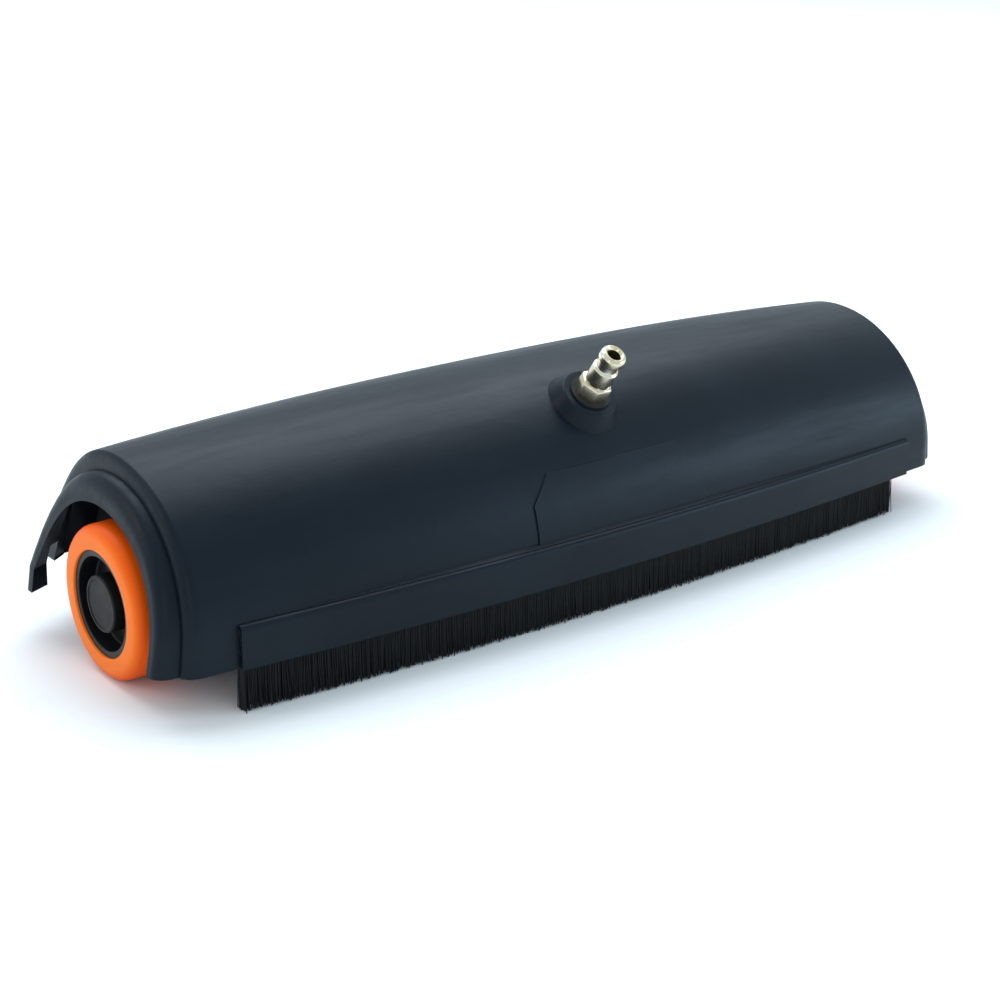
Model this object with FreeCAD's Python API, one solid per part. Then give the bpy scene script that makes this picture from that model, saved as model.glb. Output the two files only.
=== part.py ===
import FreeCAD, Part
import math
import os

# Pressure-washer water broom head: an arched moulded hood on two end wheels, a strip brush
# along the front and one along the rear, a quick-connect inlet plug on top and a spray bar
# with four fan nozzles inside. Millimetres. X runs along the hood, -Y is the front, +Z is up.
# The origin is on the floor, under the middle of the hood.

Vec = FreeCAD.Vector
X_AXIS = Vec(1, 0, 0)
Y_AXIS = Vec(0, 1, 0)
Z_AXIS = Vec(0, 0, 1)

# ---- driving dimensions ----------------------------------------------------------------
# wheels
wheel_diameter = 65.0
wheel_width = 24.0
wheel_setback = 6.2          # axle line, forward of the middle of the hood
tyre_thickness = 10.0
tyre_shoulder = 5.0          # rounding of the tread's edges
# hood, end openings round the wheels
wheel_gap_top = 5.3          # over the tread
wheel_gap_side = 10.5        # in front of the tread
lip_face = 3.4               # flat ring round the opening
lip_roll_width = 6.2         # how far the lip's rounding goes in, at its foot
lip_roll_height = 9.8        # and at its crown
shoulder_drop_width = 5.9    # from the hood down to the lip, at its foot
shoulder_drop_height = 7.8   # and at its crown
# hood, body
hood_half_length = 227.8     # to the lip's foot
lip_length_foot = 9.3
lip_length_crown = 6.8
shoulder_length_foot = 8.7
end_lean = 9.0               # how far the lip's crown is set back from its foot
rear_lean = 0.22             # share of its width by which an end's rear wall leans in
rear_lean_power = 4.0        # how fast that lean grows along the hood
crown_rise = 5.8             # the roof is higher in the middle by this
wall_bow = 6.2               # the walls stand out further in the middle by this
crown_power = 2.26           # shape of that rise along the hood
spring_line = 29.4           # height of the arch's centre
skirt_height = 19.0          # lower edge of the hood over the floor
foot_trim = 6.0              # shells are drawn this much lower, then trimmed level
quarter_ellipse = 0.5523     # how far along a cubic's inner pole goes to follow a quarter ellipse
hood_wall = 3.0
end_wall = 4.2
rear_relief_height = 9.0     # the rear skirt is cut this much higher at each end
rear_relief_inner_x = 199.0
rear_slot_length = 5.0       # and higher still in a slot behind the lip's leg
rear_slot_height = 20.0
rib_depth = 4.0
rib_thickness = 2.4
rib_places = (-150.0, -55.0, 55.0, 150.0)
# brush holders and strip brushes
brush_length = 381.0
brush_shift = -4.7           # the strips sit this far along X in their holders
holder_half_length = 195.5
holder_top = 37.6
holder_stand_off = 5.1       # holder face in front of the wall, at mid length
holder_bow = 7.7             # plan bow of the holder over the brush's length
holder_skin = 1.2
holder_back = 3.8
holder_round = 3.0
channel_width = 4.8
channel_height = 11.0
channel_sheet = 0.8
bristle_flare = 1.2
slot_depth = 16.5
brush_screw_diameter = 3.5
brush_screw_spread = (-140.0, -45.0, 45.0, 140.0)
brush_screw_drop = 5.5       # below the slot's roof
# inlet
inlet_tilt = 35.5            # degrees from vertical, towards the front
boss_height = 7.8
boss_top_radius = 13.0
boss_foot_radius = 18.8       # where the cone starts, inside the wall
boss_edge = 1.2
panel_half_length = 49.0     # blank raised panel on the front wall
panel_top = 65.5
panel_clip = 11.0
panel_rise = 0.6
inlet_pad_radius = 15.0
gasket_thickness = 1.0
screen_thickness = 1.2
screen_hole = 1.2
shank_diameter = 13.0
plug_diameter = 11.9
plug_waist = 9.6
plug_bore = 6.0
plug_hex = 13.2
plug_hex_height = 7.2
plug_length = 25.6           # from the seal to the tip
plug_nose = 5.0
plug_waist_length = 3.8
seal_thickness = 1.0
# spray bar
bar_radius_from_axis = 42.0  # bar's distance from the arch's centre, along the inlet's axis
bar_diameter = 13.7
bar_wall = 2.2
bar_half_length = 160.0
nozzle_places = (45.0, 135.0)
nozzle_hex = 11.0
nozzle_hex_height = 6.0
nozzle_tip_diameter = 8.4
nozzle_tip_length = 5.0
nozzle_thread = 8.0
socket_diameter = 14.0
socket_drop = 12.5
block_length = 24.0
block_width = 22.0
block_height = 24.0
bar_seat = 4.5               # how far the spray bars go into the block
clamp_place = 90.0
clamp_width = 14.0
clamp_half_span = 18.6
clamp_screw_span = 14.3
clamp_split = 0.6            # clamp and pad each stop this far from the bar's middle
clamp_wing = 3.0
# axle
axle_diameter = 8.0
bearing_diameter = 16.0
bearing_width = 5.0
boss_wall = 2.9
hub_cap_diameter = 24.0
hub_rim = 2.8
hub_web = 6.0
hub_rim_inset = 1.0          # rim's edges, inside the tyre's sides
hub_boss_recess = 5.4        # boss, inside the tyre's outer side
hub_boss_recess_inner = 2.0  # and inside its inner side
wheel_recess = 3.4           # tyre's outer side, inside the lip's foot
hub_cap_recess = 0.4
cap_thickness = 1.2
cap_grip = 3.0               # how far the cap goes over the boss
bolt_head_diameter = 12.8
bolt_head_height = 3.2
plate_thickness = 4.0
plate_place = 188.0          # inner face of the axle plates, from the middle
plate_screw_width = 53.5
plate_screw_heights = (25.2, 33.2)
plate_post_width = 12.0
plate_post_margin = 4.7
plate_post_root = 1.7        # how far the post goes on into the holder's back
plate_post_length = 25.0
nut_flats = 13.0
nut_height = 7.5
washer_thickness = 1.6
small_screw_diameter = 4.0   # clamp and axle plate screws
small_head_diameter = 7.2
small_head_height = 2.4
# clearances
fit_gap = 0.1                # parts that slide together and stay put
running_gap = 0.05           # radial, between axle and bearing
face_gap = 0.2               # axial, between what turns and what stays
plate_gap = 0.6              # axle plate to hood
screw_gap = 0.05             # radial, screw in its hole
seat_gap = 0.02              # under a flat screw head on a bowed face

# ---- sizes that follow -----------------------------------------------------------------
wheel_radius = wheel_diameter / 2
axle_z = wheel_radius
opening_width = wheel_radius + wheel_setback + wheel_gap_side
opening_crown = wheel_diameter + wheel_gap_top
lip_width = opening_width + lip_face
lip_crown = opening_crown + lip_face
groove_width = lip_width + lip_roll_width
groove_crown = lip_crown + lip_roll_height
end_width = groove_width + shoulder_drop_width
end_crown = groove_crown + shoulder_drop_height
groove_foot_x = hood_half_length - lip_length_foot
groove_crown_x = hood_half_length - end_lean - lip_length_crown
body_half_length = groove_foot_x - shoulder_length_foot
mid_width = end_width + wall_bow
holder_face = mid_width + holder_stand_off
brush_half = brush_length / 2
bow_radius = (brush_half ** 2 + holder_bow ** 2) / (2 * holder_bow)
slot_width = channel_width + 2 * fit_gap
slot_top = skirt_height + slot_depth
shank_radius = shank_diameter / 2
inlet_radius = end_crown + crown_rise - spring_line
boss_top = inlet_radius + boss_height
plug_seat = boss_top + seal_thickness
block_top = bar_radius_from_axis + block_height / 2
bar_radius = bar_diameter / 2
hub_radius = wheel_radius - tyre_thickness
wheel_outer_x = hood_half_length - wheel_recess
wheel_inner_x = wheel_outer_x - wheel_width
hub_boss_radius = bearing_diameter / 2 + boss_wall
hub_boss_outer_x = wheel_outer_x - hub_boss_recess
hub_boss_inner_x = wheel_inner_x + hub_boss_recess_inner
small_screw = small_screw_diameter / 2
plate_outer_x = plate_place + plate_thickness


# ---- shared shapes ---------------------------------------------------------------------
def body_rise(x):
    """Share of the end-to-middle growth that is left at x: 1 in the middle, 0 at the ends."""
    return 1 - (abs(x) / body_half_length) ** crown_power


def rear_share(x):
    """Share of the rear wall's lean at x: 0 in the middle, 1 from the shoulders outward."""
    return min(1.0, abs(x) / body_half_length) ** rear_lean_power


def arch(x_crown, x_foot, half_width, crown_z, foot_z=skirt_height - foot_trim):
    """Closed arch outline. Its plane leans when its crown and its foot have different x."""
    def at(y, z):
        share = (crown_z - z) / (crown_z - skirt_height)
        return Vec(x_crown + (x_foot - x_crown) * share, y, z)

    rise = (crown_z - spring_line) * quarter_ellipse
    reach = half_width * quarter_ellipse
    rear_pole = half_width * (1 - rear_lean * rear_share(x_foot))
    poles = [
        at(-half_width, spring_line), at(-half_width, spring_line + rise), at(-reach, crown_z),
        at(reach, crown_z), at(rear_pole, spring_line + rise), at(half_width, spring_line),
    ]
    curve = Part.BSplineCurve()
    curve.buildFromPolesMultsKnots(poles, [4, 2, 4], [0, 0.5, 1], False, 3)
    front_foot = at(-half_width, foot_z)
    rear_foot = at(half_width, foot_z)
    edges = [
        Part.LineSegment(front_foot, poles[0]).toShape(),
        curve.toShape(),
        Part.LineSegment(poles[-1], rear_foot).toShape(),
        Part.LineSegment(rear_foot, front_foot).toShape(),
    ]
    return Part.Wire(edges)


def hood_body(inset, foot_z=skirt_height - foot_trim):
    """The long crowned arch between the shoulders, inset all round by a wall."""
    half_length = body_half_length - max(inset, 0)
    places = [share * half_length for share in (-1, -0.8, -0.45, 0, 0.45, 0.8, 1)]
    outlines = []
    for x in places:
        rise = body_rise(x)
        width = end_width + wall_bow * rise - inset
        crown = end_crown + crown_rise * rise - inset
        outlines.append(arch(x, x, width, crown, foot_z))
    return Part.makeLoft(outlines, True, False)


def rolled(x_start, x_crown, x_foot, width, crown, width_drop, crown_drop):
    """A rounded step: an arch that turns in from a starting plane to a leaning end plane."""
    outlines = []
    for share in (0, 0.3, 0.6, 0.85, 1):
        along = math.sin(share * math.pi / 2)
        down = 1 - math.cos(share * math.pi / 2)
        outlines.append(arch(x_start[0] + (x_crown - x_start[0]) * along,
                             x_start[1] + (x_foot - x_start[1]) * along,
                             width - width_drop * down,
                             crown - crown_drop * down))
    return Part.makeLoft(outlines, True, False)


def mirrored(shape):
    """The same shape at the other end of the hood."""
    return shape.mirror(Vec(0, 0, 0), X_AXIS)


def rod_x(radius, x_low, x_high, y, z):
    return Part.makeCylinder(radius, x_high - x_low, Vec(x_low, y, z), X_AXIS)


def ring_x(inner, outer, x_low, x_high, y, z):
    return rod_x(outer, x_low, x_high, y, z).cut(rod_x(inner, x_low - 1, x_high + 1, y, z))


def block(low, high):
    return Part.makeBox(high[0] - low[0], high[1] - low[1], high[2] - low[2], Vec(*low))


def hexagon(flats, height, base, axis=Z_AXIS):
    """Hexagonal prism standing on base, with one corner along X."""
    radius = flats / math.sqrt(3)
    corners = [Vec(radius * math.cos(math.radians(60 * k)), radius * math.sin(math.radians(60 * k)), 0)
               for k in range(7)]
    prism = Part.Face(Part.makePolygon(corners)).extrude(Vec(0, 0, height))
    prism.Placement = FreeCAD.Placement(base, FreeCAD.Rotation(Z_AXIS, axis))
    return prism


def in_inlet_frame(shape):
    """Turns a shape drawn round the Z axis from the arch's centre onto the inlet's axis."""
    shape.rotate(Vec(0, 0, 0), X_AXIS, inlet_tilt)
    shape.translate(Vec(0, 0, spring_line))
    return shape


def level(shape):
    """Trims a shape off level at the skirt's height."""
    return shape.cut(block((-400, -200, -50), (400, 200, skirt_height)))


def strip(y_near, y_far, z_low, z_high, half_length, shift=0.0, side=-1, outline=None):
    """A bar that follows the holder's plan bow. y is measured at mid length, from the middle."""
    points = outline or [(y_near, z_low), (y_far, z_low), (y_far, z_high), (y_near, z_high)]
    corners = [Vec(0, side * y, z) for y, z in points]
    face = Part.Face(Part.makePolygon(corners + [corners[0]]))
    centre = Vec(0, side * (holder_face - bow_radius), 0)
    swing = math.degrees(math.asin(half_length / bow_radius))
    offset = math.degrees(math.asin(shift / bow_radius))
    face.rotate(centre, Z_AXIS, side * (swing - offset))
    return face.revolve(centre, Z_AXIS, -side * 2 * swing)


def strip_point(x, y, z, side):
    """The place and outward direction at x on a strip's line."""
    centre = Vec(0, side * (holder_face - bow_radius), z)
    radius = bow_radius - holder_face + y
    angle = math.asin(x / radius)
    out = Vec(math.sin(angle), side * math.cos(angle), 0)
    return centre + out * radius, out


# ---- hood ------------------------------------------------------------------------------
def holder_outline():
    """Section of a brush holder: flat face, rounded ledge and a top that slopes to the wall."""
    foot = skirt_height - foot_trim
    points = [(mid_width - hood_wall, foot), (holder_face, foot)]
    middle = (holder_face - holder_round, holder_top - holder_round)
    for step in range(6):
        angle = math.radians(18 * step)
        points.append((middle[0] + holder_round * math.cos(angle),
                       middle[1] + holder_round * math.sin(angle)))
    points.append((mid_width - hood_wall, holder_top + 2.0))
    return points


def holder_back_outline():
    inner = holder_face - holder_skin - slot_width - holder_back
    outer = holder_face - 2 * holder_skin
    foot = skirt_height - foot_trim
    return [(inner, foot), (outer, foot), (outer, holder_top - 1.0), (inner, holder_top - 1.0)]


def holder_solid(side):
    return strip(0, 0, 0, 0, holder_half_length, 0, side, holder_outline())


def holder_backing(side):
    return strip(0, 0, 0, 0, holder_half_length, 0, side, holder_back_outline())


def brush_slot(side):
    y_far = holder_face - holder_skin
    return strip(y_far - slot_width, y_far, skirt_height - foot_trim, slot_top, holder_half_length, 0, side)


def hood_end():
    """Shoulder and wheel lip at the +X end, as one solid."""
    crest = (body_half_length, body_half_length)
    shoulder = rolled(crest, groove_crown_x, groove_foot_x, end_width, end_crown,
                      shoulder_drop_width, shoulder_drop_height)
    lip = rolled((groove_crown_x, groove_foot_x), groove_crown_x + lip_length_crown,
                 hood_half_length, groove_width, groove_crown, lip_roll_width, lip_roll_height)
    return shoulder.fuse(lip)


def end_hollow():
    """The space inside the shoulder and the lip, open to the end."""
    over = 3.0
    foot = skirt_height - 2 * foot_trim
    outlines = [
        arch(body_half_length - 4, body_half_length - 4, end_width - hood_wall,
             end_crown - hood_wall, foot),
        arch(groove_crown_x - 1.5, groove_foot_x - 1.5, groove_width - end_wall,
             groove_crown - end_wall, foot),
        arch(groove_crown_x + lip_length_crown + over, hood_half_length + over, opening_width - 0.8,
             opening_crown - 1.0, foot),
    ]
    return Part.makeLoft(outlines, True, True)


def inlet_boss():
    """Conical boss that carries the inlet plug, with its pad under the roof."""
    foot = inlet_radius - 4
    cone = Part.makeCone(boss_foot_radius, boss_top_radius, boss_top - foot, Vec(0, 0, foot))
    edge = [e for e in cone.Edges if abs(e.BoundBox.ZMin - boss_top) < 0.01 and e.Closed]
    cone = cone.makeFillet(boss_edge, edge[:1])
    return in_inlet_frame(cone)


def inlet_pad():
    """Round pad under the roof that the manifold block is drawn up against."""
    return in_inlet_frame(Part.makeCylinder(inlet_pad_radius, inlet_radius - block_top, Vec(0, 0, block_top)))


def clamp_pad(place):
    """Saddle moulded under the roof that the spray bar lies in."""
    bottom = bar_radius_from_axis + clamp_split
    body = block((place - clamp_width / 2, -clamp_half_span, bottom),
                 (place + clamp_width / 2, clamp_half_span, inlet_radius))
    body = body.common(rod_x(inlet_radius - hood_wall / 2, place - clamp_width, place + clamp_width, 0, 0))
    groove = rod_x(bar_radius + fit_gap, place - clamp_width, place + clamp_width, 0, bar_radius_from_axis)
    return in_inlet_frame(body.cut(groove))


def plate_screw_places():
    """Where the axle plate's screws go, as (y, z)."""
    return [(y, z) for y in (-plate_screw_width, plate_screw_width) for z in plate_screw_heights]


def plate_post(side):
    """Post beside the holder at the +X end that two of the axle plate's screws go into."""
    low = plate_screw_heights[0] - plate_post_margin
    high = plate_screw_heights[-1] + plate_post_margin
    near = side * (plate_screw_width - plate_post_width / 2)
    far = side * (plate_screw_width + plate_post_width / 2 + plate_post_root)
    return block((plate_place - plate_post_length, min(near, far), low),
                 (plate_place, max(near, far), high))


def rear_relief():
    """Cutaway in the rear skirt at the +X end, between the holder and the lip's leg."""
    leg_x = groove_foot_x
    low = skirt_height - 1
    near = opening_width - 4
    return [
        block((rear_relief_inner_x, near, low), (leg_x, 200, skirt_height + rear_relief_height)),
        block((leg_x - rear_slot_length, near, low), (leg_x, 200, skirt_height + rear_slot_height)),
    ]


def label_panel():
    """Blank raised panel on the front wall, with two clipped upper corners."""
    half = panel_half_length
    clip = panel_clip
    low = holder_top - 1
    high = panel_top
    points = [(-half, low), (half, low), (half, high - clip), (half - clip, high),
              (-half + clip, high), (-half, high - clip)]
    corners = [Vec(x, -mid_width - 10, z) for x, z in points]
    prism = Part.Face(Part.makePolygon(corners + [corners[0]])).extrude(Vec(0, 40, 0))
    return prism.common(hood_body(-panel_rise)).cut(hood_body(1.0))


def housing():
    """The moulded hood: the outer form, hollowed, with its ribs, pads and holes."""
    ends = [hood_end(), mirrored(hood_end())]
    shell = level(hood_body(0).fuse(ends))
    shell = shell.fuse([level(holder_solid(-1)), level(holder_solid(1)), inlet_boss(), label_panel()])
    for hollow in (hood_body(hood_wall, skirt_height - 2 * foot_trim), end_hollow(), mirrored(end_hollow())):
        shell = shell.cut(hollow)

    inner = hood_body(hood_wall / 2)
    core = hood_body(hood_wall + rib_depth, skirt_height - 2 * foot_trim)
    inside = [level(holder_backing(-1)), level(holder_backing(1)), inlet_pad()]
    inside += [clamp_pad(place) for place in (-clamp_place, clamp_place)]
    for place in rib_places:
        slice_ = block((place - rib_thickness / 2, -100, skirt_height + 1),
                       (place + rib_thickness / 2, 100, 200))
        inside.append(inner.common(slice_).cut(core))
    for side in (-1, 1):
        inside += [plate_post(side), mirrored(plate_post(side))]
    shell = shell.fuse(inside)

    cuts = [brush_slot(-1), brush_slot(1)]
    cuts.append(in_inlet_frame(Part.makeCylinder(shank_radius + fit_gap, 60, Vec(0, 0, block_top - 5))))
    for place in (-clamp_place, clamp_place):
        for span in (-clamp_screw_span, clamp_screw_span):
            hole = Part.makeCylinder(small_screw + screw_gap, 14, Vec(place, span, bar_radius_from_axis))
            cuts.append(in_inlet_frame(hole))
    for y, z in plate_screw_places():
        hole = rod_x(small_screw + screw_gap, plate_place - 16, plate_place + 1, y, z)
        cuts += [hole, mirrored(hole)]
    for side in (-1, 1):
        cuts += [brush_screw_hole(x, side) for x in brush_screw_places()]
    for relief in rear_relief():
        cuts += [relief, mirrored(relief)]
    return shell.cut(cuts)


# ---- strip brushes ---------------------------------------------------------------------
def brush_screw_places():
    return [brush_shift + place for place in brush_screw_spread]


def brush_screw_line(x, side):
    """Where a screw's head seats inside the hood, and the way the screw goes."""
    y_back = holder_face - holder_skin - slot_width - holder_back
    return strip_point(x, y_back - seat_gap, slot_top - brush_screw_drop, side)


def brush_screw_hole(x, side):
    at, out = brush_screw_line(x, side)
    length = holder_back + fit_gap + channel_sheet
    return Part.makeCylinder(brush_screw_diameter / 2 + screw_gap, length + 0.55, at - out * 0.5, out)


def brush_screws(side):
    """Pan-head screws, driven from inside the hood into the channel's back."""
    screws = []
    for x in brush_screw_places():
        at, out = brush_screw_line(x, side)
        length = holder_back + fit_gap + channel_sheet
        shank = Part.makeCylinder(brush_screw_diameter / 2, length, at, out)
        head = Part.makeCylinder(3.4, 2.2, at - out * 2.2, out)
        slot = Part.makeBox(1.0, 8, 1.2, Vec(-0.5, -4, 0))
        slot.Placement = FreeCAD.Placement(at - out * 2.3, FreeCAD.Rotation(Z_AXIS, out))
        screws.append(shank.fuse(head).cut(slot))
    return Part.makeCompound(screws)


def brush_channel(side):
    """U-section steel strip that grips the bristles."""
    y_far = holder_face - holder_skin - fit_gap
    z_high = slot_top - fit_gap
    outer = strip(y_far - channel_width, y_far, z_high - channel_height, z_high, brush_half,
                  brush_shift, side)
    gap = strip(y_far - channel_width + channel_sheet, y_far - channel_sheet,
                z_high - channel_height - 1, z_high - channel_sheet, brush_half + 1, brush_shift, side)
    channel = outer.cut(gap)
    for x in brush_screw_places():
        channel = channel.cut(brush_screw_hole(x, side))
    return channel


def bristles(side):
    """The bristle pack: upright in its channel, a little wider towards the tips."""
    y_far = holder_face - holder_skin - fit_gap - channel_sheet
    y_near = y_far - channel_width + 2 * channel_sheet
    grip = slot_top - fit_gap - channel_height
    outline = [(y_near - bristle_flare, 0), (y_far + bristle_flare, 0), (y_far, grip - 1.5),
               (y_far, slot_top - fit_gap - channel_sheet), (y_near, slot_top - fit_gap - channel_sheet),
               (y_near, grip - 1.5)]
    return strip(0, 0, 0, 0, brush_half, brush_shift, side, outline)


# ---- inlet -----------------------------------------------------------------------------
def inlet_plug():
    """Quick-connect plug: nose, locking waist, body, hexagon and threaded shank, bored through."""
    radius = plug_diameter / 2
    waist = plug_waist / 2
    tip = plug_seat + plug_length
    nose_foot = tip - plug_nose
    body_top = nose_foot - plug_waist_length
    hex_top = plug_seat + plug_hex_height
    shank_foot = bar_radius_from_axis + 5
    profile = [
        Vec(0, 0, shank_foot), Vec(shank_radius - 1, 0, shank_foot), Vec(shank_radius, 0, shank_foot + 1),
        Vec(shank_radius, 0, plug_seat), Vec(radius - 0.3, 0, plug_seat), Vec(radius - 0.3, 0, hex_top),
        Vec(radius, 0, hex_top + 0.6), Vec(radius, 0, body_top - 0.8), Vec(waist, 0, body_top),
        Vec(waist, 0, nose_foot), Vec(radius, 0, nose_foot + 0.8), Vec(radius, 0, tip - 1.2),
        Vec(radius - 1.2, 0, tip), Vec(0, 0, tip), Vec(0, 0, shank_foot),
    ]
    turned = Part.Face(Part.makePolygon(profile)).revolve(Vec(0, 0, 0), Z_AXIS, 360)
    prism = hexagon(plug_hex, plug_hex_height, Vec(0, 0, plug_seat))
    corner = plug_hex / math.sqrt(3)
    trim = Part.makeCone(corner + 3, corner - 0.9, plug_hex_height, Vec(0, 0, plug_seat))
    bore = Part.makeCylinder(plug_bore / 2, 200, Vec(0, 0, shank_foot - 1))
    lead = Part.makeCone(plug_bore / 2, plug_bore / 2 + 0.8, 1.0, Vec(0, 0, tip - 1.0))
    return in_inlet_frame(turned.fuse(prism.common(trim)).cut([bore, lead]))


def inlet_seal():
    ring = Part.makeCylinder(shank_radius + 3.0, seal_thickness, Vec(0, 0, boss_top))
    hole = Part.makeCylinder(shank_radius + fit_gap, 4, Vec(0, 0, boss_top - 1))
    return in_inlet_frame(ring.cut(hole))


def inlet_gasket():
    """Flat gasket between the manifold block and the pad under the roof."""
    foot = block_top - gasket_thickness
    ring = Part.makeCylinder(block_width / 2 - 0.5, gasket_thickness, Vec(0, 0, foot))
    hole = Part.makeCylinder(shank_radius + fit_gap, 4, Vec(0, 0, foot - 1))
    return in_inlet_frame(ring.cut(hole))


def inlet_screen():
    """Fine mesh disc in the manifold block, under the plug's shank."""
    disc = Part.makeCylinder(shank_radius - fit_gap, screen_thickness, Vec(0, 0, bar_radius_from_axis + 3.6))
    holes = []
    for ring, count in ((1.7, 5), (3.9, 10)):
        for k in range(count):
            angle = 2 * math.pi * k / count
            at = Vec(ring * math.cos(angle), ring * math.sin(angle), bar_radius_from_axis + 3)
            holes.append(Part.makeCylinder(screen_hole / 2, 3, at))
    return in_inlet_frame(disc.cut(holes))


def manifold_block():
    """Brass block under the roof: takes the plug from above and a spray bar on each side."""
    top = block_top - gasket_thickness
    foot = bar_radius_from_axis - block_height / 2
    body = block((-block_length / 2, -block_width / 2, foot), (block_length / 2, block_width / 2, top))
    upright = [e for e in body.Edges if e.BoundBox.ZLength > block_height / 2]
    body = body.makeChamfer(2.0, upright)
    port = Part.makeCylinder(shank_radius + screw_gap, 40, Vec(0, 0, bar_radius_from_axis + 3.5))
    through = rod_x(bar_radius - bar_wall, -block_length, block_length, 0, bar_radius_from_axis)
    well = Part.makeCylinder(bar_radius - bar_wall, 4, Vec(0, 0, bar_radius_from_axis))
    seats = [rod_x(bar_radius + screw_gap, block_length / 2 - bar_seat, block_length, 0,
                   bar_radius_from_axis)]
    seats.append(mirrored(seats[0]))
    return in_inlet_frame(body.cut([port, through, well] + seats))


# ---- spray bar -------------------------------------------------------------------------
def bar_centre():
    tilt = math.radians(inlet_tilt)
    return -bar_radius_from_axis * math.sin(tilt), spring_line + bar_radius_from_axis * math.cos(tilt)


def spray_bar():
    """The +X spray bar: a steel tube with two nozzle sockets welded under it."""
    y, z = bar_centre()
    tube = rod_x(bar_radius, block_length / 2 - bar_seat, bar_half_length, y, z)
    for x in nozzle_places:
        socket = Part.makeCylinder(socket_diameter / 2, socket_drop, Vec(x, y, z - socket_drop))
        tube = tube.fuse(socket)
    tube = tube.cut(rod_x(bar_radius - bar_wall, 0, bar_half_length + 1, y, z))
    for x in nozzle_places:
        bore = Part.makeCylinder(nozzle_thread / 2 + screw_gap, socket_drop + 1,
                                 Vec(x, y, z - socket_drop - 1))
        tube = tube.cut(bore)
    return tube


def end_plug():
    """Hexagonal plug that closes the +X end of the spray bar."""
    y, z = bar_centre()
    stem = rod_x(bar_radius - bar_wall - fit_gap, bar_half_length - 8, bar_half_length + 1, y, z)
    head = hexagon(16.0, 5.0, Vec(bar_half_length, y, z), X_AXIS)
    return stem.fuse(head)


def nozzle(x):
    """Flat-fan nozzle, screwed up into its socket."""
    y, z = bar_centre()
    seat = z - socket_drop - seal_thickness
    thread = Part.makeCylinder(nozzle_thread / 2, 6 + seal_thickness, Vec(x, y, seat))
    body = hexagon(nozzle_hex, nozzle_hex_height, Vec(x, y, seat - nozzle_hex_height))
    foot = seat - nozzle_hex_height - nozzle_tip_length
    tip = Part.makeCylinder(nozzle_tip_diameter / 2, nozzle_tip_length, Vec(x, y, foot))
    bottom = [e for e in tip.Edges if e.BoundBox.ZMax < foot + 0.01 and e.Closed]
    tip = tip.makeFillet(1.6, bottom[:1])
    bore = Part.makeCylinder(1.4, 30, Vec(x, y, foot + 1.4))
    fan = block((x - 6, y - 0.6, foot - 1), (x + 6, y + 0.6, foot + 1.9))
    return thread.fuse([body, tip]).cut([bore, fan])


def nozzle_seals():
    y, z = bar_centre()
    rings = []
    for x in [-place for place in reversed(nozzle_places)] + list(nozzle_places):
        low = z - socket_drop - seal_thickness
        ring = Part.makeCylinder(nozzle_hex / 2, seal_thickness, Vec(x, y, low))
        rings.append(ring.cut(Part.makeCylinder(nozzle_thread / 2 + screw_gap, 4, Vec(x, y, low - 1))))
    return Part.makeCompound(rings)


def bar_clamp(place):
    """Saddle that holds the spray bar up against its pad."""
    top = bar_radius_from_axis - clamp_split
    foot = bar_radius_from_axis - bar_radius - 3.5
    half = clamp_width / 2 - 1
    middle = block((place - half, -bar_radius - 3.5, foot), (place + half, bar_radius + 3.5, top))
    wings = block((place - half, -clamp_half_span, top - clamp_wing), (place + half, clamp_half_span, top))
    body = middle.fuse(wings)
    groove = rod_x(bar_radius + fit_gap, place - 20, place + 20, 0, bar_radius_from_axis)
    holes = [Part.makeCylinder(small_screw + screw_gap, 20, Vec(place, span, foot - 1))
             for span in (-clamp_screw_span, clamp_screw_span)]
    return in_inlet_frame(body.cut([groove] + holes))


def clamp_screws():
    seat = bar_radius_from_axis - clamp_split - clamp_wing
    screws = []
    for place in (-clamp_place, clamp_place):
        for span in (-clamp_screw_span, clamp_screw_span):
            shank = Part.makeCylinder(small_screw, 15, Vec(place, span, seat))
            head = Part.makeCylinder(small_head_diameter / 2, small_head_height,
                                     Vec(place, span, seat - small_head_height))
            slot = block((place - 4, span - 0.5, seat - 3), (place + 4, span + 0.5, seat - 1.3))
            screws.append(in_inlet_frame(shank.fuse(head).cut(slot)))
    return Part.makeCompound(screws)


# ---- axle plates and axles, drawn at the +X end -------------------------------------------
def axle_plate():
    """Steel plate across the hood that carries the axle, with a stiffening flange at its foot."""
    rise = body_rise(plate_outer_x)
    inset = hood_wall + plate_gap
    width = end_width + wall_bow * rise - inset
    crown = end_crown + crown_rise * rise - inset
    foot = skirt_height + 2
    outline = arch(plate_outer_x, plate_outer_x, width, crown, foot)
    plate = Part.Face(outline).extrude(Vec(-plate_thickness, 0, 0))
    half = plate_screw_width - plate_post_width / 2 - plate_gap
    flange = block((plate_place - 12, -half, foot), (plate_place, half, foot + 2.5))
    plate = plate.fuse(flange)
    plate = plate.fuse(rod_x(12, plate_place, plate_outer_x + 1.5, -wheel_setback, axle_z))
    for side in (-1, 1):
        inner = holder_face - holder_skin - slot_width - holder_back - plate_gap
        room = strip(inner, inner + 40, 0, holder_top + plate_gap, holder_half_length + 5, 0, side)
        plate = plate.cut(room)
    plate = plate.cut(rod_x(axle_diameter / 2 + screw_gap, 0, 400, -wheel_setback, axle_z))
    for y, z in plate_screw_places():
        plate = plate.cut(rod_x(small_screw + 2 * fit_gap, 0, 400, y, z))
    return plate


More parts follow.
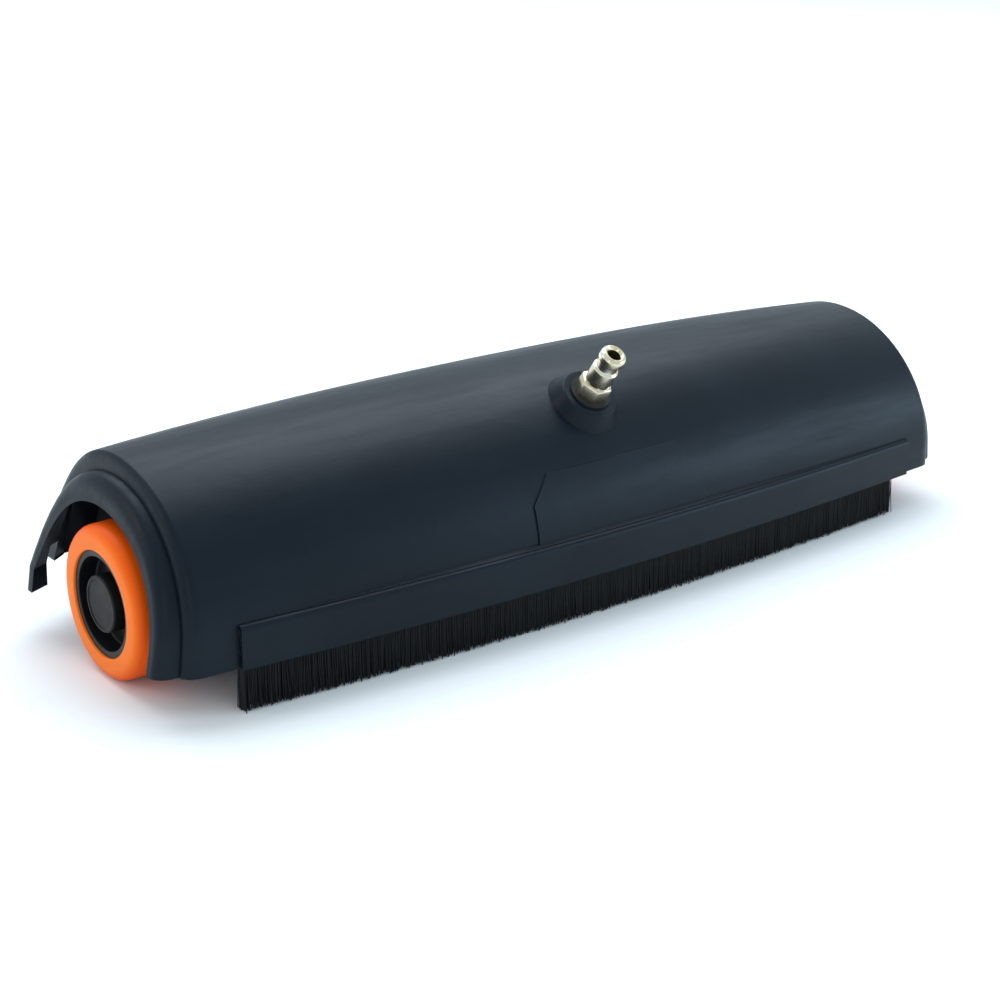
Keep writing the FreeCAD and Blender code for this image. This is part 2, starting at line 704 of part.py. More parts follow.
def plate_screws():
    screws = []
    for y, z in plate_screw_places():
        shank = rod_x(small_screw, plate_place - 14, plate_outer_x, y, z)
        head = rod_x(small_head_diameter / 2, plate_outer_x, plate_outer_x + small_head_height, y, z)
        slot = block((plate_outer_x + 1.2, y - 4, z - 0.5), (plate_outer_x + 3, y + 4, z + 0.5))
        screws.append(shank.fuse(head).cut(slot))
    return Part.makeCompound(screws)


def axle_bolt():
    """Shoulder bolt: domed head outside the wheel, shank through the plate."""
    radius = axle_diameter / 2
    head_foot = hub_boss_outer_x + face_gap
    shank = rod_x(radius, plate_place - 10.5, head_foot, -wheel_setback, axle_z)
    head = rod_x(bolt_head_diameter / 2, head_foot, head_foot + bolt_head_height, -wheel_setback, axle_z)
    rim = [e for e in head.Edges if e.Closed and e.BoundBox.XMin > head_foot + bolt_head_height / 2]
    head = head.makeFillet(1.4, rim[:1])
    socket = hexagon(5.0, 3, Vec(head_foot + 1.4, -wheel_setback, axle_z), X_AXIS)
    return shank.fuse(head).cut(socket)


def axle_spacer():
    return ring_x(axle_diameter / 2 + running_gap, 6.4, plate_outer_x + 1.5,
                  hub_boss_inner_x - face_gap, -wheel_setback, axle_z)


def axle_washer():
    return ring_x(axle_diameter / 2 + screw_gap, 8.0, plate_place - washer_thickness, plate_place,
                  -wheel_setback, axle_z)


def axle_nut():
    seat = plate_place - washer_thickness
    prism = hexagon(nut_flats, nut_height - 1.5, Vec(seat - nut_height + 1.5, -wheel_setback, axle_z), X_AXIS)
    collar = rod_x(nut_flats / 2 - 0.5, seat - nut_height, seat - nut_height + 1.6, -wheel_setback, axle_z)
    hole = rod_x(axle_diameter / 2 + screw_gap, seat - nut_height - 1, seat + 1, -wheel_setback, axle_z)
    return prism.fuse(collar).cut(hole)


# ---- wheel, drawn at the +X end -----------------------------------------------------------
def tyre():
    band = ring_x(hub_radius, wheel_radius, wheel_inner_x, wheel_outer_x, -wheel_setback, axle_z)
    edges = [e for e in band.Edges if e.Closed and e.BoundBox.ZLength > wheel_diameter - 1
             and e.BoundBox.XLength < 0.01]
    return band.makeFillet(tyre_shoulder, edges)


def wheel_hub():
    """Moulded hub: rim, recessed web and a boss with a bearing seat at each end."""
    y = -wheel_setback
    z = axle_z
    rim = ring_x(hub_radius - hub_rim, hub_radius, wheel_inner_x + hub_rim_inset,
                 wheel_outer_x - hub_rim_inset, y, z)
    middle = (wheel_inner_x + wheel_outer_x) / 2
    web = rod_x(hub_radius - hub_rim + 0.1, middle - hub_web / 2, middle + hub_web / 2, y, z)
    boss = rod_x(hub_boss_radius, hub_boss_inner_x, hub_boss_outer_x, y, z)
    seat = bearing_diameter / 2
    cuts = [
        rod_x(seat - 1.3, hub_boss_inner_x - 1, hub_boss_outer_x + 1, y, z),
        rod_x(seat, hub_boss_inner_x - 1, hub_boss_inner_x + bearing_width, y, z),
        rod_x(seat, hub_boss_outer_x - bearing_width, hub_boss_outer_x + 1, y, z),
    ]
    return rim.fuse([web, boss]).cut(cuts)


def wheel_bearings():
    inner = axle_diameter / 2 + running_gap
    outer = bearing_diameter / 2
    y = -wheel_setback
    return Part.makeCompound([
        ring_x(inner, outer, hub_boss_inner_x, hub_boss_inner_x + bearing_width, y, axle_z),
        ring_x(inner, outer, hub_boss_outer_x - bearing_width, hub_boss_outer_x, y, axle_z),
    ])


def bearing_spacer():
    return ring_x(axle_diameter / 2 + running_gap, 5.8, hub_boss_inner_x + bearing_width,
                  hub_boss_outer_x - bearing_width, -wheel_setback, axle_z)


def hub_cap():
    """Push-on cap over the bolt's head."""
    outer = hub_cap_diameter / 2
    low = hub_boss_outer_x - cap_grip
    high = wheel_outer_x - hub_cap_recess
    body = rod_x(outer, low, high, -wheel_setback, axle_z)
    rim = [e for e in body.Edges if e.Closed and e.BoundBox.XMin > high - 0.01]
    body = body.makeFillet(0.8, rim[:1])
    hollow = rod_x(hub_boss_radius, low - 1, high - cap_thickness, -wheel_setback, axle_z)
    return body.cut(hollow)


# ---- files -----------------------------------------------------------------------------
def write(node, shape):
    shape.exportStep("parts/" + node + ".step")


os.makedirs("parts", exist_ok=True)

write("hood", housing())
for name, side in (("front", -1), ("rear", 1)):
    write(name + "_brush_channel", brush_channel(side))
    write(name + "_bristles", bristles(side))
    write(name + "_brush_screws", brush_screws(side))

write("inlet_plug", inlet_plug())
write("inlet_seal", inlet_seal())
write("inlet_gasket", inlet_gasket())
write("inlet_screen", inlet_screen())
write("manifold_block", manifold_block())

write("spray_bar_right", spray_bar())
write("spray_bar_left", mirrored(spray_bar()))
write("spray_bar_end_plugs", Part.makeCompound([end_plug(), mirrored(end_plug())]))
for number, place in enumerate([-nozzle_places[1], -nozzle_places[0], nozzle_places[0], nozzle_places[1]]):
    write("nozzle_" + str(number + 1), nozzle(place))
write("nozzle_seals", nozzle_seals())
write("bar_clamp_right", bar_clamp(clamp_place))
write("bar_clamp_left", bar_clamp(-clamp_place))
write("clamp_screws", clamp_screws())

end_pieces = {
    "axle_plate": axle_plate, "plate_screws": plate_screws, "axle_bolt": axle_bolt,
    "axle_spacer": axle_spacer, "axle_washer": axle_washer, "axle_nut": axle_nut,
    "tyre": tyre, "wheel_hub": wheel_hub, "wheel_bearings": wheel_bearings,
    "bearing_spacer": bearing_spacer, "hub_cap": hub_cap,
}
for piece, make in end_pieces.items():
    write(piece + "_right", make())
    write(piece + "_left", mirrored(make()))
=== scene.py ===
import bmesh
import bpy
import math
import numpy as np
from mathutils import Matrix, Vector


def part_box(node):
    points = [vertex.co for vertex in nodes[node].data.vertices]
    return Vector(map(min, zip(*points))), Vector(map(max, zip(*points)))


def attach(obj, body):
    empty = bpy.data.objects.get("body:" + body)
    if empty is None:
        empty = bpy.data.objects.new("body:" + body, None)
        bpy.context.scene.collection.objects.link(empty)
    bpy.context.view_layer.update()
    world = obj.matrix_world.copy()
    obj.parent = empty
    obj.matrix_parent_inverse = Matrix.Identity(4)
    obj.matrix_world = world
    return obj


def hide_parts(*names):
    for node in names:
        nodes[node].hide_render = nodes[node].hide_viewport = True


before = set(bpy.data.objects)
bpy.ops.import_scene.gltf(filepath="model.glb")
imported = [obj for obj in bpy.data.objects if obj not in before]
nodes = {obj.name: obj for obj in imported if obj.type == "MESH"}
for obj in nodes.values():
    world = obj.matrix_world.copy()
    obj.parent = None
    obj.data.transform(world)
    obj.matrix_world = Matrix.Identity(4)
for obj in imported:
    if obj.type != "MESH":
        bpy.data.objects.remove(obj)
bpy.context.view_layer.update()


# ---- hood ----------------------------------------------------------------------------------
# One injection moulding in black polypropylene: an arched, crowned roof with a rounded
# shoulder and a wheel lip at each end, a brush holder along the front and the rear, and a
# cone on the front for the inlet. A fine spark-eroded grain leaves it satin, not glossy.
def shader_group(name, inputs, outputs):
    """An empty shader node group with named float or vector sockets."""
    group = bpy.data.node_groups.new(name, "ShaderNodeTree")
    for socket, kind in inputs.items():
        group.interface.new_socket(socket, in_out="INPUT", socket_type="NodeSocket" + kind)
    for socket, kind in outputs.items():
        group.interface.new_socket(socket, in_out="OUTPUT", socket_type="NodeSocket" + kind)
    return group, group.nodes.new("NodeGroupInput"), group.nodes.new("NodeGroupOutput")


def add(tree, kind, **settings):
    """A node in a tree, with its properties set."""
    node = tree.nodes.new("ShaderNode" + kind)
    for setting, value in settings.items():
        setattr(node, setting, value)
    return node


def noise_of(tree, place, scale, detail=2.0, roughness=0.5):
    """A noise texture read at a place; scale is a number per metre, or a socket."""
    node = add(tree, "TexNoise")
    tree.links.new(place, node.inputs["Vector"])
    if hasattr(scale, "is_linked"):
        tree.links.new(scale, node.inputs["Scale"])
    else:
        node.inputs["Scale"].default_value = scale
    node.inputs["Detail"].default_value = detail
    node.inputs["Roughness"].default_value = roughness
    return node.outputs["Fac"]


def stretched(tree, place, scale):
    """A place squeezed or stretched along each axis."""
    node = add(tree, "Mapping")
    tree.links.new(place, node.inputs["Vector"])
    node.inputs["Scale"].default_value = scale
    return node.outputs["Vector"]


def between(tree, value, low, high, to_low=0.0, to_high=1.0):
    """A value carried from one range to another, held at its ends."""
    node = add(tree, "MapRange")
    tree.links.new(value, node.inputs["Value"])
    for socket, number in (("From Min", low), ("From Max", high), ("To Min", to_low), ("To Max", to_high)):
        node.inputs[socket].default_value = number
    return node.outputs["Result"]


def blend_colour(tree, share, first, second):
    """Two colours mixed by a share; a colour is three numbers or a socket."""
    node = add(tree, "Mix", data_type="RGBA")
    tree.links.new(share, node.inputs["Factor"])
    for socket, colour in ((node.inputs[6], first), (node.inputs[7], second)):
        if hasattr(colour, "is_linked"):
            tree.links.new(colour, socket)
        else:
            socket.default_value = (*colour, 1.0)
    return node.outputs[2]


def finish(name, **plain):
    """A material with a Principled shader, its plain values set, and Object coordinates at hand."""
    made = bpy.data.materials.new(name)
    made.use_nodes = True
    tree = made.node_tree
    shader = tree.nodes["Principled BSDF"]
    for socket, value in plain.items():
        shader.inputs[socket.replace("_", " ")].default_value = value
    return made, tree, shader, add(tree, "TexCoord").outputs["Object"]


def bump(tree, shader, height, distance, strength=1.0):
    node = add(tree, "Bump")
    tree.links.new(height, node.inputs["Height"])
    node.inputs["Distance"].default_value = distance
    node.inputs["Strength"].default_value = strength
    tree.links.new(node.outputs["Normal"], shader.inputs["Normal"])


# The moulded grain, shared by the hood, the clamps, the wheel's plastics and the powder coat.
grain, grain_in, grain_out = shader_group(
    "moulded_grain", {"Place": "Vector", "Grain": "Float", "Flow": "Float"},
    {"Height": "Float", "Tone": "Float", "Rub": "Float"})
fine = noise_of(grain, grain_in.outputs["Place"], grain_in.outputs["Grain"], 2.0, 0.6)
broad = noise_of(grain, grain_in.outputs["Place"], grain_in.outputs["Flow"], 3.0)
rubbed = noise_of(grain, stretched(grain, grain_in.outputs["Place"], (0.12, 1.0, 1.0)), 140.0, 4.0, 0.65)
grain.links.new(fine, grain_out.inputs["Height"])
grain.links.new(between(grain, broad, 0.35, 0.65), grain_out.inputs["Tone"])
grain.links.new(between(grain, rubbed, 0.40, 0.70), grain_out.inputs["Rub"])


def moulded(name, dark, light, rough, rougher, grain_size, depth, **plain):
    """A moulded plastic finish with grain, faint flow marks and faint rubbed streaks."""
    made, tree, shader, place = finish(name, **plain)
    surface = add(tree, "Group", node_tree=grain)
    tree.links.new(place, surface.inputs["Place"])
    surface.inputs["Grain"].default_value = 1 / grain_size
    surface.inputs["Flow"].default_value = 22.0
    tree.links.new(blend_colour(tree, surface.outputs["Tone"], dark, light), shader.inputs["Base Color"])
    tree.links.new(between(tree, surface.outputs["Rub"], 0, 1, rough, rougher), shader.inputs["Roughness"])
    bump(tree, shader, surface.outputs["Height"], depth)
    return made


hood_black = moulded("hood_black", (0.0010, 0.0050, 0.0105), (0.0022, 0.0072, 0.0140), 0.36, 0.46,
                     0.0007, 0.00004, Specular_IOR_Level=0.17)


def wear(node, material):
    """Gives a CAD node its material, in the slots it already has."""
    for slot in nodes[node].material_slots:
        slot.material = material


wear("hood", hood_black)


# ---- strip brushes ---------------------------------------------------------------------------
# A strip of black nylon filament, folded over a wire and crimped in a galvanised channel
# that slides up into each holder. The strip is cut 381 mm long and follows the hood's bow,
# and the cut ends of the filaments wander by about a millimetre.
brush_length = 0.381
brush_shift = -0.0047
bow_radius = 2.3603
brush_line = 0.0723              # middle of the strip from the hood's middle, at mid length
filament_radius = 0.00025
filament_root = 0.0275           # where the filaments leave sight in the channel
filament_rows = 6
stray_share = 0.06               # filaments that the trimming missed
filament_pitch = 0.00062
row_pitch = 0.00056


def as_piece(bm, name, material, smooth_below=40):
    """A finished mesh as an object, smooth except over sharp edges."""
    mesh = bpy.data.meshes.new(name)
    bm.to_mesh(mesh)
    bm.free()
    mesh.shade_smooth()
    mesh.set_sharp_from_angle(angle=math.radians(smooth_below))
    mesh.materials.append(material)
    piece = bpy.data.objects.new(name, mesh)
    bpy.context.scene.collection.objects.link(piece)
    return piece


def array(piece, count, offset):
    copies = piece.modifiers.new("row", "ARRAY")
    copies.count = count
    copies.use_relative_offset = False
    copies.use_constant_offset = True
    copies.constant_offset_displace = offset


def baked(piece):
    """The piece with its modifiers applied."""
    graph = bpy.context.evaluated_depsgraph_get()
    mesh = bpy.data.meshes.new_from_object(piece.evaluated_get(graph))
    piece.modifiers.clear()
    piece.data = mesh
    return piece


bristle_black, tree, shader, place = finish("bristle_nylon", Specular_IOR_Level=0.22)
strands = noise_of(tree, stretched(tree, place, (1.0, 1.0, 0.01)), 1500.0, 1.0)
strand = between(tree, strands, 0.3, 0.7)
tree.links.new(blend_colour(tree, strand, (0.0015, 0.0020, 0.0032), (0.007, 0.0085, 0.012)),
               shader.inputs["Base Color"])
tree.links.new(between(tree, strands, 0.3, 0.7, 0.34, 0.5), shader.inputs["Roughness"])


def filaments(name, side, seed):
    """Straight filaments in rows, then leaned, trimmed unevenly and bowed with the strip."""
    bm = bmesh.new()
    bmesh.ops.create_circle(bm, cap_ends=True, segments=4, radius=filament_radius)
    foot = bm.faces[:]
    levels = (filament_root, 0.019, 0.012, 0.006, 0.0)
    bmesh.ops.translate(bm, vec=(0, 0, levels[0]), verts=bm.verts)
    for above, below in zip(levels, levels[1:]):
        grown = bmesh.ops.extrude_face_region(bm, geom=foot)["geom"]
        foot = [f for f in grown if isinstance(f, bmesh.types.BMFace)]
        bmesh.ops.translate(bm, vec=(0, 0, below - above), verts=list({v for f in foot for v in f.verts}))
    per_filament = len(bm.verts)
    bmesh.ops.recalc_face_normals(bm, faces=bm.faces)
    piece = as_piece(bm, name, bristle_black, 60)
    columns = int(brush_length / filament_pitch)
    array(piece, columns, (filament_pitch, 0, 0))
    array(piece, filament_rows, (0, row_pitch, 0))
    baked(piece)

    points = np.zeros(len(piece.data.vertices) * 3)
    piece.data.vertices.foreach_get("co", points)
    points = points.reshape(filament_rows, columns, per_filament, 3)
    chance = np.random.RandomState(seed)
    points[..., 0] -= (columns - 1) * filament_pitch / 2
    points[..., 1] -= (filament_rows - 1) * row_pitch / 2
    hang = 1 - points[..., 2] / filament_root
    line = points[:, :, :1, 0]
    across = points[:, :, :1, 1]
    tufts = np.sin(line * 2300 + 1.7 * np.sin(line * 610)) * 0.00025 + np.sin(line * 910) * 0.0003
    one = (filament_rows, columns, 1)
    points[..., 0] += chance.uniform(-0.00024, 0.00024, one)
    points[..., 0] += (tufts + chance.normal(0, 0.00042, one)) * hang ** 2
    points[..., 1] += chance.uniform(-0.0002, 0.0002, one)
    points[..., 1] += (across * 0.62 + chance.normal(0, 0.00025, one)) * hang ** 2
    trim = 0.0004 + np.abs(chance.normal(0, 0.0004, one)) + 0.0005 * np.sin(line * 333) ** 2
    trim = np.where(chance.uniform(0, 1, one) < stray_share, 0.0, trim)
    points[..., 2] += trim * hang
    points[..., 0] = np.clip(points[..., 0], -brush_length / 2, brush_length / 2) + brush_shift
    bow = np.sqrt(bow_radius ** 2 - points[..., 0] ** 2) - bow_radius
    points[..., 1] = side * (brush_line + points[..., 1] + bow)
    piece.data.vertices.foreach_set("co", points.ravel())
    if side < 0:
        piece.data.flip_normals()
    piece.data.update()
    return piece


for name, side, seed in (("front", -1, 5), ("rear", 1, 6)):
    strip = filaments(name + "_filaments", side, seed)
    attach(strip, "frame")
    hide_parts(name + "_bristles")


# ---- wheels ------------------------------------------------------------------------------------
# Each wheel is an orange polyurethane tyre cast on a black nylon hub. The hub has a square
# rim and a deep dish, and a grey cap is pushed over the bolt's head.
def turned(profile, steps=96):
    """A ring turned about X. Each corner of the profile is (along, radius, rounding)."""
    bm = bmesh.new()
    corners = [bm.verts.new((along, 0, radius)) for along, radius, rounding in profile]
    outline = [bm.edges.new(pair) for pair in zip(corners, corners[1:] + corners[:1])]
    bmesh.ops.spin(bm, geom=corners + outline, cent=(0, 0, 0), axis=(1, 0, 0), angle=2 * math.pi,
                   steps=steps, use_merge=True)
    bmesh.ops.remove_doubles(bm, verts=bm.verts, dist=1e-6)
    bmesh.ops.recalc_face_normals(bm, faces=bm.faces)
    rims = []
    for along, radius, rounding in profile:
        if rounding:
            rims.append((rounding, [e for e in bm.edges if all(
                abs(v.co.x - along) < 1e-6 and abs(math.hypot(v.co.y, v.co.z) - radius) < 1e-6
                for v in e.verts)]))
    for rounding, edges in rims:
        bmesh.ops.bevel(bm, geom=edges, offset=rounding, offset_type="OFFSET", segments=5, profile=0.5,
                        affect="EDGES", material=-1)
    return bm


axle_forward = 0.0062
axle_height = 0.0325
tyre_radius = 0.0325
tyre_bore = 0.0225
tyre_side = 0.012                # half the tyre's width
hub_side = 0.011
rim_bore = 0.0197
web_side = 0.003
boss_radius = 0.0109
boss_outer = 0.0066              # boss and bearing seats, outward from the wheel's middle
boss_inner = -0.010
bearing_width = 0.005
bearing_seat = 0.008
bearing_stop = 0.0067
cap_radius = 0.012
cap_foot = 0.0036
cap_face = 0.0116
cap_wall = 0.0012

tyre_orange, tree, shader, place = finish("tyre_polyurethane", Specular_IOR_Level=0.12)
cast = noise_of(tree, place, 60.0, 3.0)
cast_colour = blend_colour(tree, between(tree, cast, 0.3, 0.7), (0.90, 0.170, 0.012),
                           (0.96, 0.205, 0.020))
from_axle = add(tree, "VectorMath", operation="LENGTH")
centred = add(tree, "Mapping")
tree.links.new(place, centred.inputs["Vector"])
centred.inputs["Location"].default_value = (0, axle_forward, -axle_height)
centred.inputs["Scale"].default_value = (0, 1, 1)
tree.links.new(centred.outputs["Vector"], from_axle.inputs[0])
# Painted shade: the tyre turns a darker, deeper orange towards its outer rim and tread. This stands in for
# the less lit edge and is not a colour of the cast.
painted_shade_at_rim = between(tree, from_axle.outputs["Value"], 0.0275, 0.0318)
tree.links.new(blend_colour(tree, painted_shade_at_rim, cast_colour, (0.84, 0.095, 0.001)), shader.inputs["Base Color"])
scuffs = noise_of(tree, place, 700.0, 3.0, 0.6)
tree.links.new(between(tree, scuffs, 0.3, 0.7, 0.38, 0.5), shader.inputs["Roughness"])
bump(tree, shader, scuffs, 0.00002)

hub_black = moulded("hub_nylon", (0.003, 0.0033, 0.0042), (0.005, 0.0056, 0.007), 0.36, 0.46, 0.0006,
                    0.00003, Specular_IOR_Level=0.25)
cap_grey = moulded("cap_nylon", (0.0055, 0.0052, 0.0048), (0.0085, 0.0080, 0.0070), 0.45, 0.55, 0.0006,
                   0.00003, Specular_IOR_Level=0.16)

for end in ("left", "right"):
    low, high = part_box("tyre_" + end)
    middle = (low + high) / 2
    outward = 1 if end == "right" else -1

    def placed(bm, name, material, node):
        """Sets a wheel piece, drawn with +X outward from the wheel's middle, on its axle."""
        bmesh.ops.scale(bm, vec=(outward, 1, 1), verts=bm.verts)
        bmesh.ops.translate(bm, vec=middle, verts=bm.verts)
        bmesh.ops.recalc_face_normals(bm, faces=bm.faces)
        piece = as_piece(bm, name, material)
        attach(piece, end + "_wheel")
        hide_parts(node)
        return piece

    placed(turned([(-tyre_side, tyre_bore, 0.0004), (-tyre_side, tyre_radius - 0.0002, 0.0048),
                   (-0.0011, tyre_radius - 0.0001, 0), (-0.0006, tyre_radius, 0.0002),
                   (0.0006, tyre_radius, 0.0002), (0.0011, tyre_radius - 0.0001, 0),
                   (tyre_side, tyre_radius - 0.0002, 0.0048), (tyre_side, tyre_bore, 0.0004)], 128),
           "tyre_" + end + "_cast", tyre_orange, "tyre_" + end)
    placed(turned([(boss_inner + bearing_width, bearing_stop, 0),
                   (boss_outer - bearing_width, bearing_stop, 0),
                   (boss_outer - bearing_width, bearing_seat, 0), (boss_outer, bearing_seat, 0.0002),
                   (boss_outer, boss_radius, 0.0003), (web_side, boss_radius, 0.0004),
                   (web_side, rim_bore, 0.001), (hub_side, rim_bore, 0.0004),
                   (hub_side, tyre_bore, 0.0003), (-hub_side, tyre_bore, 0.0003),
                   (-hub_side, rim_bore, 0.0004), (-web_side, rim_bore, 0.001),
                   (-web_side, boss_radius, 0.0004), (boss_inner, boss_radius, 0.0003),
                   (boss_inner, bearing_seat, 0.0002), (boss_inner + bearing_width, bearing_seat, 0)]),
           "hub_" + end + "_moulding", hub_black, "wheel_hub_" + end)
    placed(turned([(cap_foot, boss_radius, 0), (cap_foot, cap_radius, 0.0003),
                   (cap_face, cap_radius, 0.0008), (cap_face, 0.0106, 0.0002),
                   (cap_face - 0.0004, 0.0102, 0.0002), (cap_face - 0.0004, 0, 0),
                   (cap_face - cap_wall, 0, 0), (cap_face - cap_wall, boss_radius, 0)]),
           "cap_" + end + "_moulding", cap_grey, "hub_cap_" + end)


# ---- inlet plug --------------------------------------------------------------------------------
# A quarter-inch quick-connect plug, turned in steel and yellow zinc plated: hexagon, body,
# locking waist and nose, with a bore right through. It screws down on a seal on the cone.
inlet_tilt = math.radians(35.5)
inlet_axis = Vector((0, -math.sin(inlet_tilt), math.cos(inlet_tilt)))
arch_centre = Vector((0, 0, 0.0294))
shank_radius = 0.0065            # heights are along the inlet's axis, from the arch's centre
shank_foot = 0.047
plug_seat = 0.0765
hexagon_height = 0.0072
hexagon_flats = 0.0132
neck_radius = 0.00565
plug_radius = 0.00595
waist_radius = 0.0048
waist_foot = 0.0933
nose_foot = 0.0971
plug_tip = 0.1021
plug_bore = 0.003

plated, plated_in, plated_out = shader_group("plated_metal", {"Place": "Vector", "Scale": "Float"},
                                             {"Tone": "Float", "Wear": "Float"})
tone = noise_of(plated, plated_in.outputs["Place"], plated_in.outputs["Scale"], 3.0)
wiped = noise_of(plated, stretched(plated, plated_in.outputs["Place"], (1.0, 6.0, 1.0)), 900.0, 4.0, 0.7)
plated.links.new(between(plated, tone, 0.35, 0.65), plated_out.inputs["Tone"])
plated.links.new(between(plated, wiped, 0.3, 0.75), plated_out.inputs["Wear"])


def metal(name, colour, tint, rough, rougher, patch=0.004, metallic=1.0):
    """A metal finish that drifts between two tones, with a slightly uneven polish."""
    made, tree, shader, place = finish(name, Metallic=metallic)
    surface = add(tree, "Group", node_tree=plated)
    tree.links.new(place, surface.inputs["Place"])
    surface.inputs["Scale"].default_value = 1 / patch
    tree.links.new(blend_colour(tree, surface.outputs["Tone"], colour, tint), shader.inputs["Base Color"])
    tree.links.new(between(tree, surface.outputs["Wear"], 0, 1, rough, rougher), shader.inputs["Roughness"])
    bump(tree, shader, surface.outputs["Wear"], 0.000004)
    return made


yellow_zinc = metal("yellow_zinc", (0.68, 0.58, 0.36), (0.78, 0.72, 0.62), 0.16, 0.28)
bm = turned([(shank_foot, plug_bore, 0), (shank_foot, shank_radius - 0.001, 0),
             (shank_foot + 0.001, shank_radius, 0), (plug_seat, shank_radius, 0),
             (plug_seat, neck_radius, 0), (plug_seat + hexagon_height, neck_radius, 0),
             (plug_seat + hexagon_height + 0.0006, plug_radius, 0.0001),
             (waist_foot - 0.0008, plug_radius, 0.0002), (waist_foot, waist_radius, 0.0002),
             (nose_foot, waist_radius, 0.0002), (nose_foot + 0.0008, plug_radius, 0.0002),
             (plug_tip - 0.0012, plug_radius, 0.0005), (plug_tip, plug_radius - 0.0012, 0.0003),
             (plug_tip, plug_bore + 0.0008, 0.0002), (plug_tip - 0.001, plug_bore, 0.0001)])
hexagon = bmesh.new()
bmesh.ops.create_circle(hexagon, cap_ends=True, segments=6, radius=hexagon_flats / math.sqrt(3))
grown = bmesh.ops.extrude_face_region(hexagon, geom=hexagon.faces[:])["geom"]
top = [f for f in grown if isinstance(f, bmesh.types.BMFace)]
bmesh.ops.translate(hexagon, vec=(0, 0, hexagon_height), verts=list({v for f in top for v in f.verts}))
bmesh.ops.bevel(hexagon, geom=[e for f in top for e in f.edges], offset=0.0006, offset_type="OFFSET",
                segments=2, profile=0.5, affect="EDGES", material=-1)
bmesh.ops.recalc_face_normals(hexagon, faces=hexagon.faces)
bmesh.ops.rotate(hexagon, matrix=Matrix.Rotation(math.radians(30), 3, "Z"), verts=hexagon.verts)
bmesh.ops.rotate(hexagon, matrix=Matrix.Rotation(math.radians(90), 3, "Y"), verts=hexagon.verts)
bmesh.ops.translate(hexagon, vec=(plug_seat, 0, 0), verts=hexagon.verts)
shape = bpy.data.meshes.new("hexagon")
hexagon.to_mesh(shape)
hexagon.free()
bm.from_mesh(shape)
beside = Vector((0, math.cos(inlet_tilt), math.sin(inlet_tilt)))
to_inlet = Matrix((inlet_axis, beside, inlet_axis.cross(beside))).transposed()
bmesh.ops.rotate(bm, matrix=to_inlet, verts=bm.verts)
bmesh.ops.translate(bm, vec=arch_centre, verts=bm.verts)
plug = as_piece(bm, "inlet_plug_turned", yellow_zinc)
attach(plug, "frame")
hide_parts("inlet_plug")


# ---- water parts under the hood ----------------------------------------------------------------
# Rubber seals, a perforated steel screen, a brass manifold block, stainless spray bars with
# brass end plugs and fan nozzles, and two moulded clamps with zinc plated screws.
rubber, tree, shader, place = finish("nitrile_rubber", Specular_IOR_Level=0.3)
dust = noise_of(tree, place, 500.0, 3.0)
dusted = between(tree, dust, 0.3, 0.7)
tree.links.new(blend_colour(tree, dusted, (0.007, 0.007, 0.007), (0.016, 0.016, 0.016)),
               shader.inputs["Base Color"])
tree.links.new(between(tree, dust, 0.3, 0.7, 0.55, 0.75), shader.inputs["Roughness"])
bump(tree, shader, dust, 0.00002)
for node in ("inlet_seal", "inlet_gasket", "nozzle_seals"):
    wear(node, rubber)

brass = metal("machined_brass", (0.62, 0.42, 0.16), (0.72, 0.52, 0.22), 0.24, 0.4, 0.008)
stainless = metal("drawn_stainless", (0.50, 0.50, 0.50), (0.58, 0.57, 0.56), 0.22, 0.38, 0.012)
bright_zinc = metal("bright_zinc", (0.55, 0.57, 0.60), (0.66, 0.66, 0.66), 0.22, 0.36, 0.003)
for node in ("manifold_block", "spray_bar_end_plugs", "nozzle_1", "nozzle_2", "nozzle_3", "nozzle_4"):
    wear(node, brass)
for node in ("inlet_screen", "spray_bar_left", "spray_bar_right"):
    wear(node, stainless)
for node in ("clamp_screws", "front_brush_screws", "rear_brush_screws"):
    wear(node, bright_zinc)
for node in ("bar_clamp_left", "bar_clamp_right"):
    wear(node, hood_black)


# ---- steel fittings ----------------------------------------------------------------------------
# Galvanised brush channels, and at each end a powder coated axle plate with a zinc plated
# bolt, spacer, washer, lock nut and four screws. The bearings are ground steel.
galvanised = metal("galvanised_strip", (0.46, 0.47, 0.49), (0.60, 0.61, 0.62), 0.34, 0.5, 0.006)
ground_steel = metal("ground_steel", (0.50, 0.50, 0.51), (0.56, 0.56, 0.57), 0.16, 0.26, 0.01)
powder_coat = moulded("powder_coat", (0.014, 0.014, 0.016), (0.020, 0.020, 0.022), 0.42, 0.55, 0.0012,
                      0.00004, Specular_IOR_Level=0.4)
for side in ("front", "rear"):
    wear(side + "_brush_channel", galvanised)
for end in ("left", "right"):
    wear("axle_plate_" + end, powder_coat)
    wear("wheel_bearings_" + end, ground_steel)
    for node in ("plate_screws_", "axle_bolt_", "axle_spacer_", "axle_washer_", "axle_nut_",
                 "bearing_spacer_"):
        wear(node + end, bright_zinc)


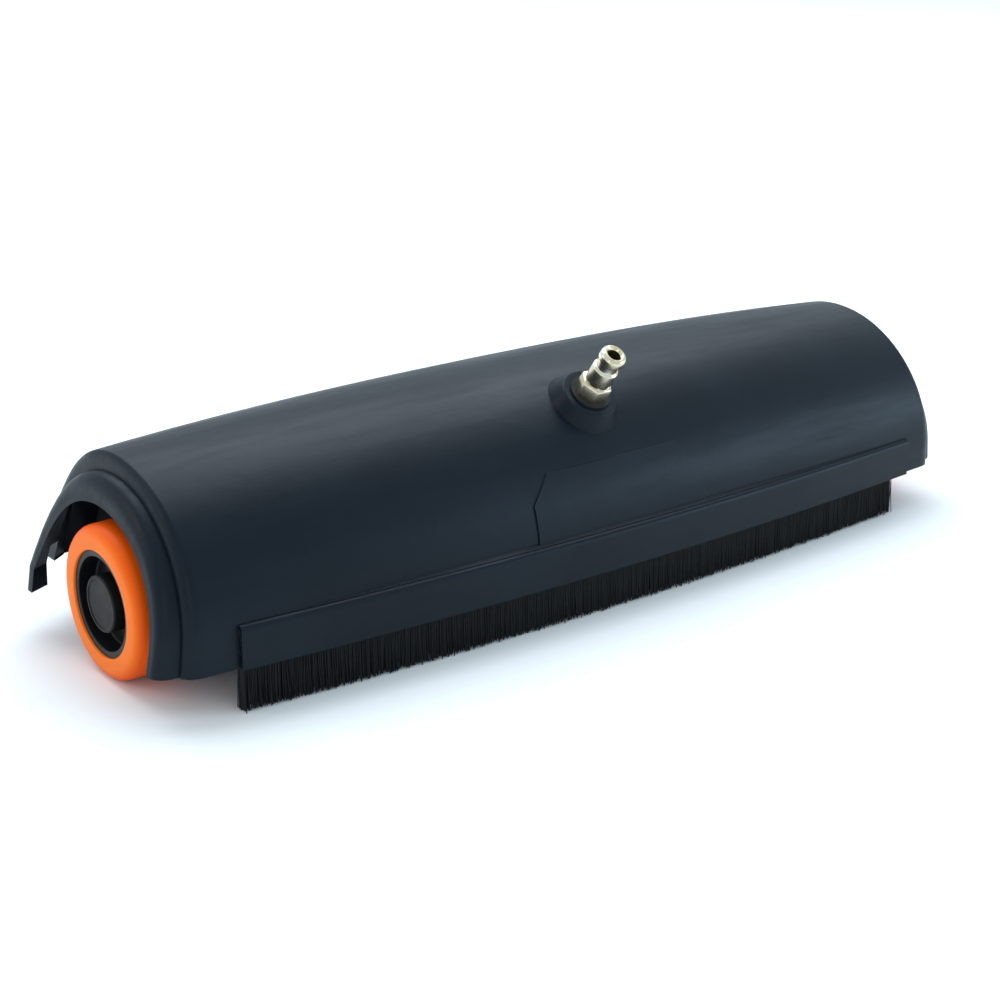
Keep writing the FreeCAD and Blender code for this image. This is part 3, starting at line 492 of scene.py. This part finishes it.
# ---- studio ------------------------------------------------------------------------------------
# A pale floor under one large soft light, with weaker cool ones in front and a warm one at
# the left. The camera stands at the left front, a little over the head.
floor_grey, tree, shader, place = finish("floor_pale", Roughness=0.9, Specular_IOR_Level=0.0)
shader.inputs["Base Color"].default_value = (0.9, 0.9, 0.9, 1)
bm = bmesh.new()
bmesh.ops.create_grid(bm, x_segments=1, y_segments=1, size=12.0)
floor = as_piece(bm, "floor", floor_grey)


def soft_light(name, place, aim, width, height, power, colour):
    lamp = bpy.data.lights.new(name, "AREA")
    lamp.shape = "RECTANGLE"
    lamp.size = width
    lamp.size_y = height
    lamp.energy = power
    lamp.color = colour
    light = bpy.data.objects.new(name, lamp)
    light.location = place
    light.rotation_euler = (Vector(aim) - Vector(place)).to_track_quat("-Z", "Y").to_euler()
    light.visible_camera = False
    bpy.context.scene.collection.objects.link(light)


soft_light("overhead", (0.5, 1.1, 2.2), (0, 0, 0.05), 3.2, 2.0, 64, (0.86, 0.94, 1.0))
soft_light("right_front", (2.2, -1.7, 0.6), (0, 0, 0.05), 1.4, 1.0, 20, (0.60, 0.82, 1.0))
soft_light("front_left", (-1.6, -1.5, 0.7), (0, 0, 0.05), 0.2, 0.9, 2.5, (0.65, 0.84, 1.0))
soft_light("warm_left", (-2.2, 1.3, 1.3), (0, 0, 0.05), 1.0, 1.0, 7, (1.0, 0.80, 0.60))

world = bpy.data.worlds.new("studio")
world.use_nodes = True
world.node_tree.nodes["Background"].inputs["Color"].default_value = (0.80, 0.92, 1.0, 1)
world.node_tree.nodes["Background"].inputs["Strength"].default_value = 0.9
bpy.context.scene.world = world
bpy.context.scene.view_settings.view_transform = "Standard"

azimuth, elevation, roll = (math.radians(angle) for angle in (-38.82, 20.48, 1.17))
lens = bpy.data.cameras.new("camera")
lens.lens = 68.5
lens.sensor_width = 36
lens.clip_end = 50
camera = bpy.data.objects.new("camera", lens)
camera.matrix_world = (Matrix.Translation((-0.5372, -0.64933, 0.34112)) @ Matrix.Rotation(azimuth, 4, "Z")
                       @ Matrix.Rotation(math.pi / 2 - elevation, 4, "X") @ Matrix.Rotation(roll, 4, "Z"))
bpy.context.scene.collection.objects.link(camera)
bpy.context.scene.camera = camera
